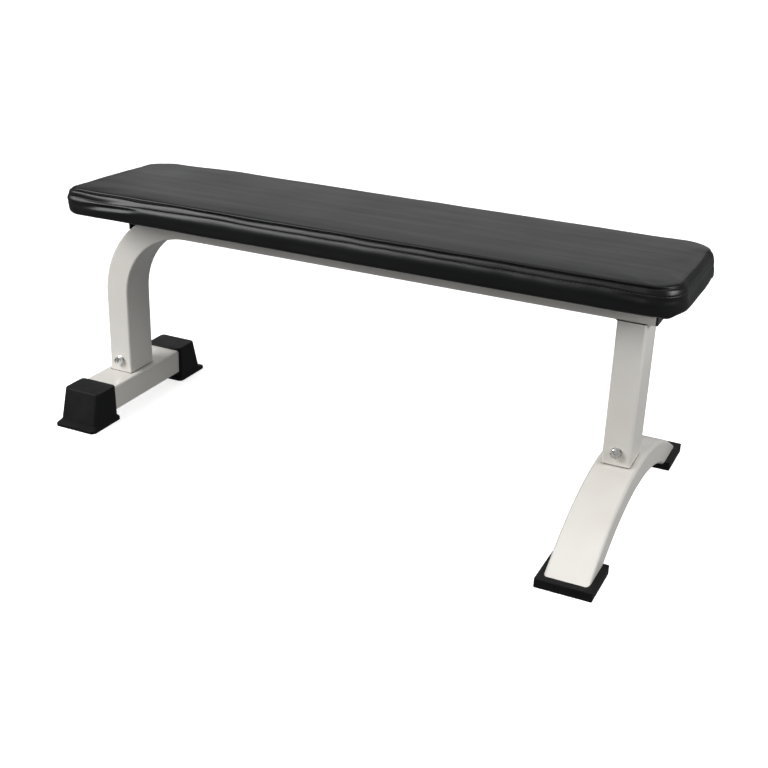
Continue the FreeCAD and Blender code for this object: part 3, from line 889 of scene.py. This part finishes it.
def new_tree(name, sizes):
    """An empty geometry tree with a geometry input and output and these named sizes."""
    tree = bpy.data.node_groups.new(name, "GeometryNodeTree")
    tree.interface.new_socket("Geometry", in_out="INPUT", socket_type="NodeSocketGeometry")
    tree.interface.new_socket("Geometry", in_out="OUTPUT", socket_type="NodeSocketGeometry")
    for size in sizes:
        tree.interface.new_socket(size, in_out="INPUT", socket_type="NodeSocketFloat")
    return tree, add(tree, "NodeGroupInput"), add(tree, "NodeGroupOutput")


def grow(carrier, tree, values):
    """Runs the tree on the carrier and keeps the result as a plain mesh."""
    modifier = carrier.modifiers.new("grow", "NODES")
    modifier.node_group = tree
    for item in tree.interface.items_tree:
        if item.in_out == "INPUT" and item.name in values:
            modifier[item.identifier] = values[item.name]
    carrier.update_tag()
    evaluated = carrier.evaluated_get(bpy.context.evaluated_depsgraph_get())
    grown = bpy.data.meshes.new_from_object(evaluated)
    carrier.modifiers.remove(modifier)
    carrier.data = grown
    return carrier


print("path tools ready")

# %% Stitch tree
stitches, given, result = new_tree("lock_stitches", ["Pitch", "Stitch length", "Thread radius"])
curve = add(stitches, "GeometryNodeMeshToCurve", inputs={"Mesh": given.outputs["Geometry"]})
marks = add(stitches, "GeometryNodeCurveToPoints", {"mode": "LENGTH"}, {
    "Curve": curve.outputs["Curve"], "Length": given.outputs["Pitch"],
})
bead = add(stitches, "GeometryNodeMeshIcoSphere", inputs={"Radius": 1.0, "Subdivisions": 2})
lengthways = add(stitches, "ShaderNodeCombineXYZ", inputs={
    "X": given.outputs["Thread radius"], "Y": given.outputs["Thread radius"],
    "Z": given.outputs["Stitch length"],
})
laid = add(stitches, "GeometryNodeInstanceOnPoints", inputs={
    "Points": marks.outputs["Points"], "Instance": bead.outputs["Mesh"],
    "Rotation": marks.outputs["Rotation"], "Scale": lengthways.outputs["Vector"],
})
real = add(stitches, "GeometryNodeRealizeInstances", inputs={"Geometry": laid.outputs["Instances"]})
smooth = add(stitches, "GeometryNodeSetShadeSmooth", inputs={"Geometry": real.outputs["Geometry"]})
painted = add(stitches, "GeometryNodeSetMaterial", inputs={
    "Geometry": smooth.outputs["Geometry"], "Material": thread,
})
stitches.links.new(painted.outputs["Geometry"], result.inputs["Geometry"])
print("stitch tree nodes", len(stitches.nodes))

# %% Lay the stitches
stitch_path = [p + directions[i] * mm(0.15) for i, p in enumerate(rows[stitch_row])]
stitch_row_piece = grow(path_object("pad_stitches", stitch_path), stitches, {
    "Pitch": mm(6.3), "Stitch length": mm(2.5), "Thread radius": mm(0.55),
})
points_in_a_bead = 42
print("stitches", len(stitch_row_piece.data.vertices) // points_in_a_bead)

# %% [markdown]
# Under the pad, the turned-in vinyl and the dust cloth over it are held by staples every
# twenty-four millimetres. A staple's crown is ten millimetres of flat wire with its legs in the
# board. The tree bends each one from a rounded rectangle, whose upper half is out of sight in
# the wood.

# %% Staple tree
staples, given, result = new_tree("staples", ["Pitch", "Crown", "Leg", "Wire radius"])
curve = add(staples, "GeometryNodeMeshToCurve", inputs={"Mesh": given.outputs["Geometry"]})
# Z Up keeps each point's second axis vertical all the way round, so the legs go straight up.
level_curve = add(staples, "GeometryNodeSetCurveNormal", {"mode": "Z_UP"}, {"Curve": curve.outputs["Curve"]})
marks = add(staples, "GeometryNodeCurveToPoints", {"mode": "LENGTH"}, {
    "Curve": level_curve.outputs["Curve"], "Length": given.outputs["Pitch"],
})
crown = add(staples, "GeometryNodeCurvePrimitiveQuadrilateral", inputs={
    "Width": given.outputs["Leg"], "Height": given.outputs["Crown"],
})
bent = add(staples, "GeometryNodeFilletCurve", {"mode": "POLY"}, {
    "Curve": crown.outputs["Curve"], "Radius": mm(0.8), "Count": 2,
})
upright = add(staples, "GeometryNodeTransform", inputs={
    "Geometry": bent.outputs["Curve"], "Rotation": (math.pi / 2, 0.0, math.pi / 2),
})
section_circle = add(staples, "GeometryNodeCurvePrimitiveCircle", inputs={
    "Resolution": 6, "Radius": given.outputs["Wire radius"],
})
shape = add(staples, "GeometryNodeCurveToMesh", inputs={
    "Curve": upright.outputs["Geometry"], "Profile Curve": section_circle.outputs["Curve"],
})
put = add(staples, "GeometryNodeInstanceOnPoints", inputs={
    "Points": marks.outputs["Points"], "Instance": shape.outputs["Mesh"],
    "Rotation": marks.outputs["Rotation"],
})
real = add(staples, "GeometryNodeRealizeInstances", inputs={"Geometry": put.outputs["Instances"]})
painted = add(staples, "GeometryNodeSetMaterial", inputs={
    "Geometry": real.outputs["Geometry"], "Material": wire,
})
staples.links.new(painted.outputs["Geometry"], result.inputs["Geometry"])
print("staple tree nodes", len(staples.nodes))

# %% Drive the staples
staple_inset = 31.0
staple_pitch = 24.0
staple_path = [p / 1000.0 + pad_middle + Vector((0, 0, mm(0.2))) for p in ring(staple_inset)]
staple_piece = grow(path_object("pad_staples", staple_path), staples, {
    "Pitch": mm(staple_pitch), "Crown": mm(10), "Leg": mm(2.4), "Wire radius": mm(0.45),
})
staple_low = min(vertex.co.z for vertex in staple_piece.data.vertices)
print("staple crowns lie at", round(staple_low * 1000, 2), "mm")

# %% [markdown]
# The dust cloth is one flat cut, stretched over the board and under the edge of the turned-in
# vinyl's staples. It lies against the rail and the bracket, and between its staples its free edge
# puckers very slightly. It is a thin sheet, so it is drawn in rings with a Solidify modifier.

# %% Dust cloth
cloth_inset = 27.0
cloth_thickness = 0.35
dust_rows = [cloth_inset, 29.0, 33.0, 36.0, 40.0, 48.0, 60.0, 75.0, 90.0, 105.0, 120.0, 132.0]


def dust_points():
    points = []
    for inset in dust_rows:
        for i, p in enumerate(ring(inset)):
            edge = bell(inset, cloth_inset, 8.0)
            pucker = 0.25 * edge * math.sin(lengths[i] / staple_pitch * math.tau)
            lift = -0.45 + pucker if inset < 34.5 else 0.45
            points.append((p + Vector((0, 0, lift))) / 1000.0 + pad_middle)
    return points


dust_faces = []
for level_index in range(len(dust_rows) - 1):
    for i in range(count):
        a = level_index * count + i
        b = level_index * count + (i + 1) % count
        dust_faces.append((b, a, a + count, b + count))
dust_faces += close_loop((len(dust_rows) - 1) * count, False)
dust = mesh_object("pad_underside_cloth", dust_points(), dust_faces)
dust.data.materials.append(nonwoven)
thick = dust.modifiers.new("thickness", "SOLIDIFY")
thick.thickness = mm(cloth_thickness)
thick.offset = -1.0

# %% [markdown]
# The upright is welded to the rail. A hand-run weld is a row of overlapping drops, each frozen
# as the next one lands. The tree lays drops of slightly different sizes along a short line in
# the corner between the two pieces, and the powder coat covers them.

# %% Weld tree
welds, given, result = new_tree("weld_beads", ["Pitch", "Drop radius"])
curve = add(welds, "GeometryNodeMeshToCurve", inputs={"Mesh": given.outputs["Geometry"]})
marks = add(welds, "GeometryNodeCurveToPoints", {"mode": "LENGTH"}, {
    "Curve": curve.outputs["Curve"], "Length": given.outputs["Pitch"],
})
drop = add(welds, "GeometryNodeMeshUVSphere", inputs={
    "Segments": 12, "Rings": 8, "Radius": given.outputs["Drop radius"],
})
varied = add(welds, "FunctionNodeRandomValue", {"data_type": "FLOAT"}, {
    "Min": 0.86, "Max": 1.1, "Seed": 11,
})
landed = add(welds, "GeometryNodeInstanceOnPoints", inputs={
    "Points": marks.outputs["Points"], "Instance": drop.outputs["Mesh"],
    "Rotation": marks.outputs["Rotation"], "Scale": varied.outputs["Value"],
})
real = add(welds, "GeometryNodeRealizeInstances", inputs={"Geometry": landed.outputs["Instances"]})
smooth = add(welds, "GeometryNodeSetShadeSmooth", inputs={"Geometry": real.outputs["Geometry"]})
painted = add(welds, "GeometryNodeSetMaterial", inputs={
    "Geometry": smooth.outputs["Geometry"], "Material": enamel,
})
welds.links.new(painted.outputs["Geometry"], result.inputs["Geometry"])
print("weld tree nodes", len(welds.nodes))

# %% Run the welds
upright_low, upright_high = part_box("front_upright")
weld_half = (upright_high.y - upright_low.y) / 2 - mm(5)


def weld_line(name, x, z):
    points = [Vector((x, -weld_half, z)), Vector((x, weld_half, z))]
    return grow(path_object(name, points, closed=False), welds, {
        "Pitch": mm(2.2), "Drop radius": mm(2.4),
    })


weld_pieces = [
    weld_line("upright_weld_rear", upright_low.x - mm(0.4), upright_high.z - mm(0.4)),
    weld_line("upright_weld_front", upright_high.x + mm(0.4), upright_high.z - mm(0.4)),
]
print("weld drops", sum(len(w.data.vertices) for w in weld_pieces))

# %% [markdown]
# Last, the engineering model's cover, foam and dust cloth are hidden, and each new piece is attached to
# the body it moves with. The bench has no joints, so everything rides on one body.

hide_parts("pad_cover", "pad_foam")
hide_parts("pad_dust_cloth")
pieces = {
    pad: "cover_vinyl", stitch_row_piece: "cover_vinyl", dust: "dust_cloth",
    staple_piece: "plated_steel",
}
for weld in weld_pieces:
    pieces[weld] = "frame_enamel"
for piece, slot in pieces.items():
    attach(piece, "root")
print("pieces", [piece.name for piece in pieces])
